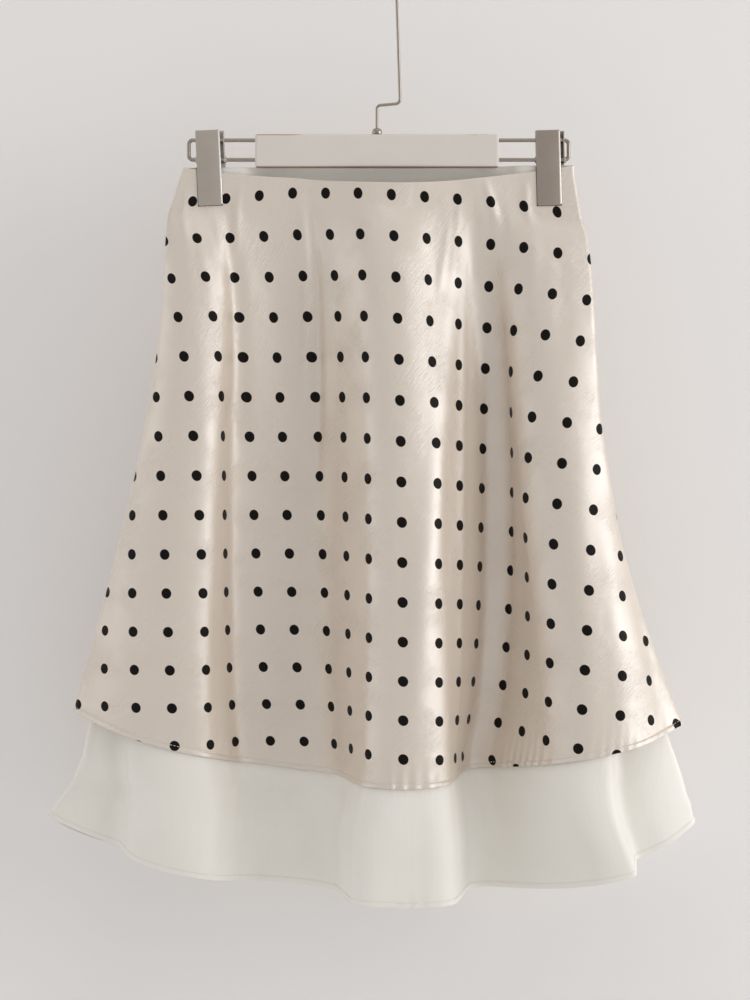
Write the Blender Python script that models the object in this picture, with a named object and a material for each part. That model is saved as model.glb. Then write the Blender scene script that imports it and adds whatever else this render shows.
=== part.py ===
# A-line midi skirt on a clip hanger: dotted satin over a longer plain underskirt.
# Metres, +Z up, seen from -Y. The origin is the seat of the hook, where it hangs on a rail.
import bpy
import bmesh
import numpy as np
from math import cos, pi, radians, sin, tan
from mathutils import Matrix, Vector

for old in list(bpy.data.objects):
    bpy.data.objects.remove(old, do_unlink=True)

# ---- Driving sizes of the skirt. The cloth is measured in columns and rows of its dots. ----
cloth_thickness = 0.001
seam_gap = 0.0003
pinched_half = 0.00275          # half of the four layers where the clips hold them
layer_gap_pinched = 0.00045     # satin to underskirt under the clips
layer_gap_free = 0.0012         # and where they hang free
free_row = 4.0                  # the row by which they hang free
own_row = 6.0                   # the row by which the underskirt has its own sides

first_row_height = -0.1985      # row 1 on column 1
row_pitch = 0.0371              # between rows at the waist, where the weight stretches the cloth
row_relax = 0.000155            # how the pitch eases towards the hem
column_pitch = 0.0326           # between columns at the hem
column_squeeze = 0.0042         # how much narrower a column is at the waist
squeeze_rows = 5.5
column_one_x = dict(waist=0.0095, below=0.0225, rows=4.0)   # where column 1 lies, and how soon it gets there
# How far the rows hang below their height on column 1, in metres.
right_sag = dict(each_column=0.0014, steeper_by=0.0038, from_column=4.3, sharpness=2.0)
left_lift = dict(hem=0.0075, waist_less=0.005, rows=4.0, columns=1.8)
left_droop = dict(each_column=0.0026, rows=3.0, from_column=-2.0)
# The edges, in rows: the lowest row, its column, and how much they rise to either side of it.
waist_edge = dict(row=0.72, column=0.15, rise=0.0222)
satin_edge = dict(row=15.86, column=-0.9, rise=0.0194)
under_edge = dict(row=19.03, column=-1.3, rise=0.0142, far_rise=0.00003)

hem_row = 15.0                  # the satin hem's row in the fold tables
under_row = 17.5                # from here down the underskirt keeps the tables' last values
back_rise = 0.44                # rows that the back's waist edge stands above the front's
clip_row = 1.5                  # the clips hold the cloth flat down to here
fold_growth = 0.58              # below 1 the folds deepen fastest just below the clips
satin_lines, flare_lines = 12, 3   # rows of facets down the satin, and below its hem
line_crowding = 1.06            # above 1 they are closer together at the waist
turn_faces = 3                  # facets round each side fold
columns_known, rows_known = 500, np.linspace(-0.5, 19.5, 81)   # where the sheets are worked out

# One row for each fold, from left to right. Column: where the fold lies at the waist, half way,
# at the satin hem and at the underskirt's hem. Depth, in mm: how far it lies behind (+) or
# before (-) the hanger there. Ease: columns over which it rounds off, on each side.
front_folds = (
    dict(name="left_ridge", column=(-4.8, -6.3, -7.0, -7.2), depth=(-2.75, -32, -27, -32), ease=(2.0, 1.1)),
    dict(name="left_valley", column=(-2.1, -3.2, -3.7, -3.9), depth=(-2.9, 13, 23, 24), ease=(1.3, 1.9)),
    dict(name="ridge_from", column=(0.58, 0.93, 0.8, 0.3), depth=(-15, -43, -66, -70), ease=(1.0, 0.4)),
    dict(name="ridge_to", column=(0.62, 0.97, 1.3, 1.7), depth=(-15, -43, -66, -70), ease=(0.4, 1.2)),
    dict(name="right_valley", column=(3.3, 4.45, 4.55, 4.5), depth=(-6, 11, 10, 8), ease=(0.5, 0.5)),
    dict(name="right_ridge", column=(5.15, 7.3, 8.8, 9.2), depth=(-2.75, -34, -70, -72), ease=(1.7, 1.5)),
)
# The underskirt has the same folds, with a sharp tuck more at either side.
under_sides = (
    dict(name="left_tuck", column=(-5.0, -7.1, -9.3, -10.0), depth=(-2.75, -14, 11, 15), ease=(0.4, 0.4)),
    dict(name="right_tuck", column=(5.95, 8.1, 10.2, 10.4), depth=(-2.75, -22, -14, -2), ease=(0.4, 0.4)),
)
under_folds = (under_sides[0],) + front_folds + (under_sides[1],)
back_folds = (
    dict(name="left_fold", column=(-3.45, -6.0, -6.9, -7.2), depth=(2.75, 42, 70, 76), ease=(1.6, 1.4)),
    dict(name="left_dip", column=(-2.95, -3.0, -3.3, -3.4), depth=(9.5, 42, 52, 54), ease=(1.4, 1.4)),
    dict(name="middle_fold", column=(0.4, 0.4, 0.6, 0.7), depth=(13, 54, 78, 84), ease=(1.4, 1.4)),
    dict(name="right_dip", column=(4.25, 4.0, 4.4, 4.5), depth=(9.5, 42, 50, 52), ease=(1.4, 1.4)),
    dict(name="right_fold", column=(5.15, 6.9, 8.1, 8.4), depth=(2.75, 40, 64, 70), ease=(1.4, 1.6)),
)
# The side seams: columns of the satin, columns of the underskirt, and depth in mm.
left_side = dict(satin=(-5.35, -7.99, -10.63, -12.7), under=(-5.35, -7.7, -10.3, -11.9), depth=(0, -7, 26, 29))
right_side = dict(satin=(6.6, 8.85, 12.6, 13.6), under=(6.6, 8.7, 12.2, 12.9), depth=(0, -14, -6, -6))
steepest = 0.97                 # sine of the steepest flank
roll_pinched = 0.0043           # length of cloth that turns round the side fold at the waist
roll_free = 0.0100              # and where it hangs free
roll_rows = 5.0                 # rows below the clips to get there
turn_share = 0.6                # of the roll: how far its round turn can close a gap at the seam
turn_rows = 4.0                 # rows below own_row to get there
roll_bulge = 0.6                # how much of the roll's growth each half of the side fold takes
snug_columns = 0.8              # the layers lie close this far from the side folds
seam_ease = 0.01                # columns over which a panel's slope starts at its seam
same_seam = 0.001               # seams of the two layers nearer than this are drawn as one
# Columns over which a sheet's end is drawn over to the seam that it is sewn to.
pull_back, pull_under, pull_width, pull_rest = 4.0, 1.6, 2.5, 2.0

# ---- Driving sizes of the hanger ----
bar_length, bar_height, bar_thickness = 0.213, 0.0288, 0.011
bar_middle_height = -0.1586
bar_corner = 0.0022
rod_radius = 0.0017
rod_heights = (-0.1490, -0.1661)
rod_depth_in_bar = 0.012
loop_reach = (-0.1663, 0.1693)  # outer ends of the two wire loops
loop_corner = 0.0036
fit_gap = 0.0003                # between hard pieces that meet
past, just_past = 0.01, 0.001   # how far cutters run out of what they cut
clip_height = 0.0660
clip_top_height = -0.1405
clip_front_width = 0.0210
clip_back_width = 0.0250
clip_sheet = 0.0012
flange_height = 0.0288          # of the sides that the rods pass through
clips = (
    dict(name="clip_left", middle=-0.1464, lean=2.6),     # lean in degrees
    dict(name="clip_right", middle=0.1510, lean=1.4),
)
wire_radius = 0.0013
hook_radius = 0.0171            # of the hook's middle line
hook_tip_turn = 25.0            # degrees that the tip comes round below its middle
nut_radius, nut_height, nut_round = 0.0043, 0.0052, 0.0016
shank_depth = 0.0075            # of the wire in the bar
# Corners of the wire from the bar up to the hook: X, Z and the radius of the bend there.
shank_corners = (
    dict(x=0.0, z=-0.1186, bend=0.0036),
    dict(x=0.0203, z=-0.1168, bend=0.0042),
)
cap_sides, tube_sides, bend_steps, hook_steps = 24, 3, 6, 21


def blend(values, row):
    """The value at a row, from those at the waist, half way, the hem and the underskirt's hem."""
    waist, middle, hem, under = values
    s = np.clip(row, 0.0, hem_row) / hem_row
    upper = waist * (1 - s) * (1 - 2 * s) + middle * 4 * s * (1 - s) + hem * s * (2 * s - 1)
    t = np.clip((row - hem_row) / (under_row - hem_row), 0.0, 1.0)
    return upper + (under - hem) * t * t * (3 - 2 * t)


def below_clips(row):
    """The row that a fold's depth follows: it stays at 0 as far down as the clips reach."""
    held = np.maximum(row - clip_row, 0.0) / (hem_row - clip_row)
    return np.where(row < hem_row, hem_row * held ** fold_growth, row)


def left_seam(row, layer="satin"):
    return blend(left_side[layer], row)


def right_seam(row, layer="satin"):
    return blend(right_side[layer], row)


def pitch_across(row):
    return column_pitch - column_squeeze * np.exp(-np.maximum(row, 1.0) / squeeze_rows)


def sag(column, row):
    """How far a row hangs below its height on column 1."""
    bend = right_sag["sharpness"]
    beyond = np.log1p(np.exp(bend * (column - right_sag["from_column"]))) / bend
    right = right_sag["each_column"] * np.maximum(column - 1, 0) + right_sag["steeper_by"] * beyond
    lift = left_lift["hem"] - left_lift["waist_less"] * np.exp(-row / left_lift["rows"])
    lift = lift * (1 - np.exp(np.minimum(column - 1, 0) / left_lift["columns"]))
    droop = left_droop["each_column"] * np.exp(-(row - 1) / left_droop["rows"])
    droop = droop * np.maximum(left_droop["from_column"] - column, 0)
    return right - lift + droop


def height(column, row):
    return first_row_height - row_pitch * (row - 1) + row_relax * (row * row - 1) - sag(column, row)


def edge_row(edge, column):
    aside = column - edge["column"]
    return edge["row"] - edge["rise"] * aside ** 2 - edge.get("far_rise", 0.0) * aside ** 4


def front_waist(column):
    return edge_row(waist_edge, column)


def satin_hem(column):
    return edge_row(satin_edge, column)


def under_hem(column):
    return edge_row(under_edge, column)


def back_waist(column):
    """The back's waist edge runs level, hidden behind the bar."""
    s = (column - left_seam(0.0)) / (right_seam(0.0) - left_seam(0.0))
    return front_waist(column) - back_rise * np.sin(pi * np.clip(s, 0, 1))


def roll_length(row):
    """Length of cloth that turns round the side fold."""
    return roll_pinched + (roll_free - roll_pinched) * np.clip((row - clip_row) / roll_rows, 0, 1)


def fold_places(row, folds, layer):
    inner = [blend(f["column"], row) for f in folds]
    return [left_seam(row, layer)] + inner + [right_seam(row, layer)]


def cross_section(row, folds, side, layer):
    """Columns, X and Y across one row of the front (side -1) or the back (side 1)."""
    places = fold_places(row, folds, layer)
    down = below_clips(row)
    half = pinched_half + roll_bulge * (roll_length(row) - roll_pinched)
    depths = [blend(left_side["depth"], down) / 1000 + side * half]
    depths += [blend(f["depth"], down) / 1000 for f in folds]
    depths += [blend(right_side["depth"], down) / 1000 + side * half]
    eases = [(seam_ease, seam_ease)] + [f["ease"] for f in folds] + [(seam_ease, seam_ease)]
    columns = np.linspace(places[0], places[-1], columns_known)
    slope = np.zeros_like(columns)
    for k in range(len(places) - 1):
        span = places[k + 1] - places[k]
        leave, arrive = eases[k][1], eases[k + 1][0]
        shrink = min(1.0, span / (leave + arrive))
        leave, arrive = leave * shrink, arrive * shrink
        peak = (depths[k + 1] - depths[k]) / (span - (leave + arrive) / 2)
        inside = (columns >= places[k]) & (columns <= places[k + 1])
        on = columns[inside] - places[k]
        slope[inside] = peak * np.clip(np.minimum(on / leave, (span - on) / arrive), 0, 1)
    pitch, roll, turned = pitch_across(row), roll_length(row), side * pi / 2
    angle = np.arcsin(np.clip(slope / pitch, -steepest, steepest))
    to_left = (columns - columns[0]) * pitch
    to_right = (columns[-1] - columns) * pitch
    angle = np.where(to_left < roll, turned + (angle - turned) * to_left / roll, angle)
    angle = np.where(to_right < roll, -turned + (angle + turned) * to_right / roll, angle)
    step = to_left[1]
    x = np.concatenate([[0.0], np.cumsum(np.cos(angle[1:]) + np.cos(angle[:-1])) * step / 2])
    y = np.concatenate([[0.0], np.cumsum(np.sin(angle[1:]) + np.sin(angle[:-1])) * step / 2])
    middle = len(places) // 2
    x -= np.interp(places[middle], columns, x)
    y += depths[middle] - np.interp(places[middle], columns, y)
    return columns, x, y


def pulled(columns, values, left_by, right_by, reach):
    """Moves the two ends of a curve, and less and less of it up to so many columns in."""
    near_left = np.clip(1 - (columns - columns[0]) / reach, 0, 1) ** 2
    near_right = np.clip(1 - (columns[-1] - columns) / reach, 0, 1) ** 2
    return values + left_by * near_left + right_by * near_right


def turned_in(columns, values, left_by, right_by, row):
    """Moves the two ends of a curve likewise, but as far as it can by a round turn at the very end."""
    roll = roll_length(row)
    most = turn_share * roll * np.clip((row - own_row) / turn_rows, 0, 1)
    left_turn, right_turn = np.clip(left_by, -most, most), np.clip(right_by, -most, most)
    values = pulled(columns, values, left_by - left_turn, right_by - right_turn, pull_rest)
    to_left = np.clip((columns - columns[0]) * pitch_across(row) / roll, 0, 1)
    to_right = np.clip((columns[-1] - columns) * pitch_across(row) / roll, 0, 1)
    values = values + left_turn * (1 - np.sqrt(1 - (1 - to_left) ** 2))
    return values + right_turn * (1 - np.sqrt(1 - (1 - to_right) ** 2))


def section_tables():
    """X and Y of each panel's sheet, by row and by share of the width. At the seams they meet."""
    tables = {name: [] for name in ("satin_front", "satin_back", "under_front", "under_back")}
    for row in rows_known:
        columns, x, y = cross_section(row, front_folds, -1, "satin")
        waist, below, rows = column_one_x["waist"], column_one_x["below"], column_one_x["rows"]
        shift = below + (waist - below) * np.exp(-max(row, 1.0) / rows) - np.interp(1.0, columns, x)
        x = x + shift
        back_columns, xb, yb = cross_section(row, back_folds, 1, "satin")
        xb = xb + (x[0] + x[-1] - xb[0] - xb[-1]) / 2
        stretch = (x[-1] - x[0]) / (xb[-1] - xb[0])
        pivot = (x[0] + x[-1]) / 2
        xb = pivot + (xb - pivot) * stretch
        yb = pulled(back_columns, yb, y[0] - yb[0], y[-1] - yb[-1], pull_back)
        tables["satin_front"].append((x, y))
        tables["satin_back"].append((xb, yb))

        inner, xu, yu = cross_section(row, under_folds, -1, "under")
        xu = xu + np.interp(1.0, columns, x) - np.interp(1.0, inner, xu)
        left_end = np.interp(xu[0], xb, yb)
        right_end = np.interp(xu[-1], xb, yb)
        inset_left, inset_right = xu[0] - x[0], x[-1] - xu[-1]
        seam_left = y[0] if inset_left < same_seam else (yu[0] + left_end) / 2
        seam_right = y[-1] if inset_right < same_seam else (yu[-1] + right_end) / 2
        yu = pulled(inner, yu, seam_left - yu[0], seam_right - yu[-1], pull_under)
        own = np.clip((row - clip_row) / (own_row - clip_row), 0, 1)
        own = own * own * (3 - 2 * own)
        near = pulled(inner, inner, columns[0] - inner[0], columns[-1] - inner[-1], pull_width)
        xn, yn = np.interp(near, columns, x), np.interp(near, columns, y)
        tables["under_front"].append((xn + (xu - xn) * own, yn + (yu - yn) * own))
        xn, yn = np.interp(near, back_columns, xb), np.interp(near, back_columns, yb)
        xub = pulled(inner, xn, xu[0] - xb[0], xu[-1] - xb[-1], pull_width)
        yub = np.interp(xub, xb, yb)
        yub = turned_in(inner, yub, yu[0] - yub[0], yu[-1] - yub[-1], row)
        tables["under_back"].append((xn + (xub - xn) * own, yn + (yub - yn) * own))
    return {name: np.array(rows) for name, rows in tables.items()}


tables = section_tables()


def look_up(name, share, row):
    """X and Y on a panel's sheet, read between the known rows and shares of the width."""
    table = tables[name]
    r = np.clip((row - rows_known[0]) / (rows_known[1] - rows_known[0]), 0, len(rows_known) - 1.001)
    c = np.clip(share * (columns_known - 1), 0, columns_known - 1.001)
    r0, c0 = r.astype(int), c.astype(int)
    fr, fc = r - r0, c - c0
    found = []
    for axis in (0, 1):
        top = table[r0, axis, c0] * (1 - fc) + table[r0, axis, c0 + 1] * fc
        low = table[r0 + 1, axis, c0] * (1 - fc) + table[r0 + 1, axis, c0 + 1] * fc
        found.append(top * (1 - fr) + low * fr)
    return found


def sheet_points(name, column, row):
    """Points of the satin's outer face, or of the sheet that the underskirt is moved in from."""
    layer = name.split("_")[0]
    left, right = left_seam(row, layer), right_seam(row, layer)
    x, y = look_up(name, (column - left) / (right - left), row)
    return np.stack([x, y, height(column, row)], axis=-1)


def row_on_line(column, line, is_back):
    """The row where a line of the panels' grid lies: the waist, then the satin's hem, then below."""
    waist = back_waist(column) if is_back else front_waist(column)
    if line <= satin_lines:
        return waist + (satin_hem(column) - waist) * (line / satin_lines) ** line_crowding
    return satin_hem(column) + (under_hem(column) - satin_hem(column)) * (line - satin_lines) / flare_lines


def column_on_line(place, line, is_back):
    """Where a fold or a seam, whose column depends on the row, meets a line of the grid."""
    row = line * hem_row / satin_lines
    for _ in range(12):
        row = row_on_line(place(row), line, is_back)
    return place(row)


def panel_columns(layer, is_back, line, folds, spans):
    """Columns of the grid's points on one line: they follow the folds and turn round the sides."""
    left = column_on_line(lambda row: left_seam(row, layer), line, is_back)
    right = column_on_line(lambda row: right_seam(row, layer), line, is_back)
    inner = [column_on_line(lambda row: blend(fold["column"], row), line, is_back) for fold in folds]
    side_row = row_on_line(right, line, is_back)
    pitch = pitch_across(side_row)
    trim, roll = seam_gap / 2 / pitch, roll_length(side_row) / pitch
    turn = trim + (roll - trim) * np.linspace(0, 1, turn_faces + 1)
    stops = [left + roll] + inner + [right - roll]
    columns = list(left + turn)
    for here, there, count in zip(stops, stops[1:], spans):
        columns += list(np.linspace(here, there, count + 1)[1:])
    return columns + list(right - turn[::-1])[1:]


def inward_at(name, columns, rows):
    """Directions out of the sheet, into the skirt."""
    nudge = 0.03
    across = sheet_points(name, columns + nudge, rows) - sheet_points(name, columns - nudge, rows)
    up = sheet_points(name, columns, rows - nudge) - sheet_points(name, columns, rows + nudge)
    inward = np.cross(up, across) * (-1 if name.endswith("back") else 1)
    inward /= np.linalg.norm(inward, axis=-1, keepdims=True)
    inward[:, 0] = (1, 0, 0)
    inward[:, -1] = (-1, 0, 0)
    return inward


def material(name, colour, roughness, metallic=0.0):
    made = bpy.data.materials.new(name)
    made.use_nodes = True
    shader = made.node_tree.nodes["Principled BSDF"]
    shader.inputs["Base Color"].default_value = (*colour, 1.0)
    shader.inputs["Roughness"].default_value = roughness
    shader.inputs["Metallic"].default_value = metallic
    return made


def put_in_scene(name, mesh, finish, smooth_angle=35):
    thing = bpy.data.objects.new(name, mesh)
    bpy.context.scene.collection.objects.link(thing)
    mesh.materials.append(finish)
    mesh.shade_smooth()
    mesh.set_sharp_from_angle(angle=radians(smooth_angle))
    return thing


def cloth_panel(name, folds, spans, finish):
    """A wall between two grids of points: one on the panel's sheet, one moved inwards."""
    layer, is_back = name.split("_")[0], name.endswith("back")
    lines = range(satin_lines + (flare_lines if layer == "under" else 0) + 1)
    columns = np.array([panel_columns(layer, is_back, line, folds, spans) for line in lines])
    rows = np.array([row_on_line(columns[line], line, is_back) for line in lines])
    outer = sheet_points(name, columns, rows)
    inward = inward_at(name, columns, rows)
    if layer == "under":
        hang = np.clip((rows - clip_row) / (free_row - clip_row), 0, 1)
        inset = np.minimum(columns - columns[:, :1], columns[:, -1:] - columns)
        loose = hang * hang * (3 - 2 * hang) * np.clip(inset / snug_columns, 0, 1)
        gap = layer_gap_pinched + (layer_gap_free - layer_gap_pinched) * loose
        outer = outer + inward * (cloth_thickness + gap)[..., None]
    inner = outer + inward * cloth_thickness
    bm = bmesh.new()
    for points in (outer, inner):
        made = bmesh.ops.create_grid(bm, x_segments=columns.shape[1] - 1, y_segments=len(lines) - 1, size=1)
        for vert, point in zip(made["verts"], points.reshape(-1, 3)):
            vert.co = point
    bm.verts.ensure_lookup_table()
    bm.verts.index_update()
    other_side = columns.size
    for edge in [edge for edge in bm.edges if edge.is_boundary and edge.verts[0].index < other_side]:
        a, b = edge.verts
        bm.faces.new((a, b, bm.verts[b.index + other_side], bm.verts[a.index + other_side]))
    bmesh.ops.triangulate(bm, faces=bm.faces[:], quad_method="FIXED")
    bmesh.ops.recalc_face_normals(bm, faces=bm.faces[:])
    mesh = bpy.data.meshes.new(name)
    bm.to_mesh(mesh)
    bm.free()
    return put_in_scene(name, mesh, finish, 60)


# ---- The skirt ----
satin = material("satin", (0.80, 0.76, 0.70), 0.28)
plain_cloth = material("plain_cloth", (0.80, 0.79, 0.73), 0.75)

cloth_panel("satin_front", front_folds, (7, 6, 6, 1, 6, 6, 7), satin)
cloth_panel("satin_back", back_folds, (5, 5, 5, 5, 5, 5), satin)
cloth_panel("under_front", under_folds, (3, 4, 6, 6, 1, 6, 6, 4, 3), plain_cloth)
cloth_panel("under_back", back_folds, (5, 5, 5, 5, 5, 5), plain_cloth)


# ---- The hanger ----
def block(name, low, high):
    """A plain box between two corners."""
    bm = bmesh.new()
    bmesh.ops.create_cube(bm, size=1)
    bmesh.ops.scale(bm, vec=[h - l for l, h in zip(low, high)], verts=bm.verts)
    bmesh.ops.translate(bm, vec=[(l + h) / 2 for l, h in zip(low, high)], verts=bm.verts)
    mesh = bpy.data.meshes.new(name)
    bm.to_mesh(mesh)
    bm.free()
    return put_in_scene(name, mesh, brushed_nickel)


def drill(name, radius, start, end):
    """A round cutter between two points, along X or along Z."""
    start, end = Vector(start), Vector(end)
    bm = bmesh.new()
    turn = (end - start).to_track_quat("Z", "Y").to_matrix().to_4x4()
    place = Matrix.Translation((start + end) / 2) @ turn
    bmesh.ops.create_cone(bm, cap_ends=True, segments=cap_sides, radius1=radius, radius2=radius,
                          depth=(end - start).length, matrix=place)
    mesh = bpy.data.meshes.new(name)
    bm.to_mesh(mesh)
    bm.free()
    return put_in_scene(name, mesh, brushed_nickel)


def boolean(thing, other, operation):
    other.hide_render = True
    other.display_type = "WIRE"
    step = thing.modifiers.new(other.name, "BOOLEAN")
    step.operation = operation
    step.solver = "EXACT"
    step.object = other


def rounded(corners):
    """A line through (x, z, bend) corners, each turned as an arc of that radius."""
    line = []
    for k, (x, z, bend) in enumerate(corners):
        here = Vector((x, z))
        if bend == 0:
            line.append(here)
            continue
        back = (Vector(corners[k - 1][:2]) - here).normalized()
        on = (Vector(corners[k + 1][:2]) - here).normalized()
        half = back.angle(on) / 2
        middle = here + (back + on).normalized() * bend / sin(half)
        first = here + back * bend / tan(half) - middle
        last = here + on * bend / tan(half) - middle
        swing = first.angle_signed(last)
        for n in range(bend_steps + 1):
            line.append(middle + Matrix.Rotation(-swing * n / bend_steps, 2) @ first)
    return line


def wire(name, line, radius, finish):
    """A round wire along (x, z) points, with flat ends."""
    curve = bpy.data.curves.new(name, "CURVE")
    curve.dimensions = "3D"
    curve.bevel_depth = radius
    curve.bevel_resolution = tube_sides
    curve.use_fill_caps = True
    spline = curve.splines.new("POLY")
    spline.points.add(len(line) - 1)
    for point, (x, z) in zip(spline.points, line):
        point.co = (x, 0, z, 1)
    spline.use_smooth = True
    curve.materials.append(finish)
    thing = bpy.data.objects.new(name, curve)
    bpy.context.scene.collection.objects.link(thing)
    return thing


white_paint = material("white_paint", (0.78, 0.75, 0.70), 0.55)
steel_wire = material("steel_wire", (0.56, 0.54, 0.52), 0.28, 1.0)
brushed_nickel = material("brushed_nickel", (0.60, 0.57, 0.53), 0.34, 1.0)

bar_top = bar_middle_height + bar_height / 2
bar_half = bar_length / 2
bore = rod_radius + fit_gap
bar = block("hanger_bar", (-bar_half, -bar_thickness / 2, bar_top - bar_height),
            (bar_half, bar_thickness / 2, bar_top))
bar.data.materials.clear()
bar.data.materials.append(white_paint)
soft = bar.modifiers.new("soft_edges", "BEVEL")
soft.width = bar_corner
soft.segments = 3
for side in (-1, 1):
    for z in rod_heights:
        depth = rod_depth_in_bar + fit_gap
        hole = drill("rod_hole", bore, (side * (bar_half - depth), 0, z), (side * (bar_half + past), 0, z))
        boolean(bar, hole, "DIFFERENCE")
shank_hole = drill("shank_hole", wire_radius + fit_gap, (0, 0, bar_top - shank_depth - fit_gap),
                   (0, 0, bar_top + past))
boolean(bar, shank_hole, "DIFFERENCE")

for name, side, reach in (("rod_loop_left", -1, loop_reach[0]), ("rod_loop_right", 1, loop_reach[1])):
    inside = side * (bar_half - rod_depth_in_bar)
    outside = reach - side * rod_radius
    high, low = rod_heights
    corners = ((inside, high, 0), (outside, high, loop_corner), (outside, low, loop_corner), (inside, low, 0))
    wire(name, rounded(corners), rod_radius, steel_wire)

jaw = pinched_half + fit_gap        # from the middle to the jaws' inner faces
skin = jaw + clip_sheet
clip_bottom = clip_top_height - clip_height
for clip in clips:
    name, left = clip["name"], clip["middle"] - clip_back_width / 2
    right = left + clip_back_width
    fold_right = left + clip_front_width
    low_end, high_end = clip_bottom, clip_top_height
    below, above, beside = low_end - just_past, high_end + just_past, right + just_past
    body = block(name, (left, -skin, low_end), (right, skin, high_end))
    for n, (low, high) in enumerate((
        ((fold_right, -skin - just_past, below), (beside, -jaw, above)),
        ((fold_right, -skin, high_end - clip_sheet - just_past), (beside, jaw, above)),
        ((left + clip_sheet, -jaw, below), (right - clip_sheet, jaw, high_end - clip_sheet)),
        ((left - just_past, -jaw, below), (beside, jaw, high_end - flange_height)),
    )):
        boolean(body, block(f"{name}_space_{n}", low, high), "DIFFERENCE")
    lean = Matrix.Translation((clip["middle"], 0, high_end)) @ Matrix.Rotation(radians(-clip["lean"]), 4, "Y")
    lean = lean @ Matrix.Translation((-clip["middle"], 0, -high_end))
    for piece in [body] + [step.object for step in body.modifiers]:
        piece.data.transform(lean)
    for n, z in enumerate(rod_heights):
        hole = drill(f"{name}_rod_hole_{n}", bore, (left - past, 0, z), (right + past, 0, z))
        boolean(body, hole, "DIFFERENCE")

nut_foot = bar_top + fit_gap
profile = (
    (wire_radius + fit_gap, nut_foot),
    (nut_radius, nut_foot),
    (nut_radius, nut_foot + nut_height - nut_round),
    (nut_radius - nut_round / 2, nut_foot + nut_height - nut_round / 4),
    (nut_radius - nut_round, nut_foot + nut_height),
    (wire_radius + fit_gap, nut_foot + nut_height),
)
bm = bmesh.new()
ring = [bm.verts.new((x, 0, z)) for x, z in profile]
edges = [bm.edges.new((ring[k - 1], ring[k])) for k in range(len(ring))]
bmesh.ops.spin(bm, geom=ring + edges, cent=(0, 0, 0), axis=(0, 0, 1), angle=2 * pi, steps=cap_sides,
               use_merge=True)
bmesh.ops.recalc_face_normals(bm, faces=bm.faces[:])
nut_mesh = bpy.data.meshes.new("nut")
bm.to_mesh(nut_mesh)
bm.free()
put_in_scene("nut", nut_mesh, steel_wire)

hook_middle = wire_radius - hook_radius
lower, upper = shank_corners
corners = ((0, bar_top - shank_depth, 0), (lower["x"], lower["z"], lower["bend"]),
           (upper["x"], upper["z"], upper["bend"]), (hook_radius, hook_middle, 0))
shank = rounded(corners)
turns = np.linspace(0, pi + radians(hook_tip_turn), hook_steps + 1)[1:]
hook = shank + [(hook_radius * cos(t), hook_middle + hook_radius * sin(t)) for t in turns]
wire("hook", hook, wire_radius, steel_wire)
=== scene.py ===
# A-line midi skirt on its clip hanger: dotted satin over a longer plain underskirt.
# Metres, Z up, seen from -Y. The seat of the hook on its rail is the origin.
from math import cos, pi, radians, sin, tan

import bpy
import bmesh
import numpy as np
from mathutils import Matrix, Vector


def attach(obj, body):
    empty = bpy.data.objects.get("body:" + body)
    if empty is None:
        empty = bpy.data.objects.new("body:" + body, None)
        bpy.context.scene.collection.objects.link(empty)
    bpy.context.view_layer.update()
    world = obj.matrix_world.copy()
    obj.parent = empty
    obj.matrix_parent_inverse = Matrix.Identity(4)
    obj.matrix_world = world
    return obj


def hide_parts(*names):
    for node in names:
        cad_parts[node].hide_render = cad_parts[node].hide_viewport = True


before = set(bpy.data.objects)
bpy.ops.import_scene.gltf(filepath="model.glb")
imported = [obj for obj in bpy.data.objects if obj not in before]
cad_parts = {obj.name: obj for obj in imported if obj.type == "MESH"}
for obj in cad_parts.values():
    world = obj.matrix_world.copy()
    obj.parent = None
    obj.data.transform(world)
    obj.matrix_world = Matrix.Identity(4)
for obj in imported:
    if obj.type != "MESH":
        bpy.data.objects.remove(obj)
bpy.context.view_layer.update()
scene = bpy.context.scene
print("frame loaded:", len(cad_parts), "nodes")


def linkObject(title, data):
    made = bpy.data.objects.new(title, data)
    scene.collection.objects.link(made)
    return made


def linkPiece(title, data, node=None):
    piece = linkObject(title, data)
    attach(piece, "root")
    if node:
        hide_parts(node)
    return piece


def meshFrom(bm, title):
    mesh = bpy.data.meshes.new(title)
    bm.to_mesh(mesh)
    bm.free()
    return mesh


# The hang of the cloth, measured in columns and rows of its dots, as the solids are.
hang = dict(
    firstRow=-0.1985, rowPitch=0.0371, rowRelax=0.000155,
    columnPitch=0.0326, columnSqueeze=0.0042, squeezeRows=5.5,
    columnOneWaist=0.0095, columnOneBelow=0.0225, columnOneRows=4.0,
    sagEach=0.0014, sagSteeper=0.0038, sagFrom=4.3, sagSharp=2.0,
    liftHem=0.0075, liftWaistLess=0.005, liftRows=4.0, liftColumns=1.8,
    droopEach=0.0026, droopRows=3.0, droopFrom=-2.0,
    hemRow=15.0, underRow=17.5, clipRow=1.5, ownRow=6.0, freeRow=4.0,
    foldGrowth=0.58, foldStart=1.2, foldEase=0.6, backRise=0.44, pinchedHalf=0.00275,
    gapPinched=0.00145, gapFree=0.0022, snugColumns=0.8,
    rollPinched=0.0043, rollFree=0.0100, rollRows=5.0, rollBulge=0.6,
    turnShare=0.6, turnRows=4.0, steepest=0.97, seamEase=0.01, sameSeam=0.001,
    pullBack=4.0, pullUnder=1.6, pullWidth=2.5, pullRest=2.0,
    bendPasses=50, bendRows=4.5, bendFade=1.5, clipColumns=(-4.4, 5.3), clipHold=0.75, clipFade=0.9,
)
# Each edge's lowest row, the column of that point, and how fast it rises to either side.
edges = dict(
    waist=(0.72, 0.15, 0.0222, 0.0),
    satin=(15.86, -0.9, 0.0194, 0.0),
    under=(19.03, -1.3, 0.0142, 0.00003),
)
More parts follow.
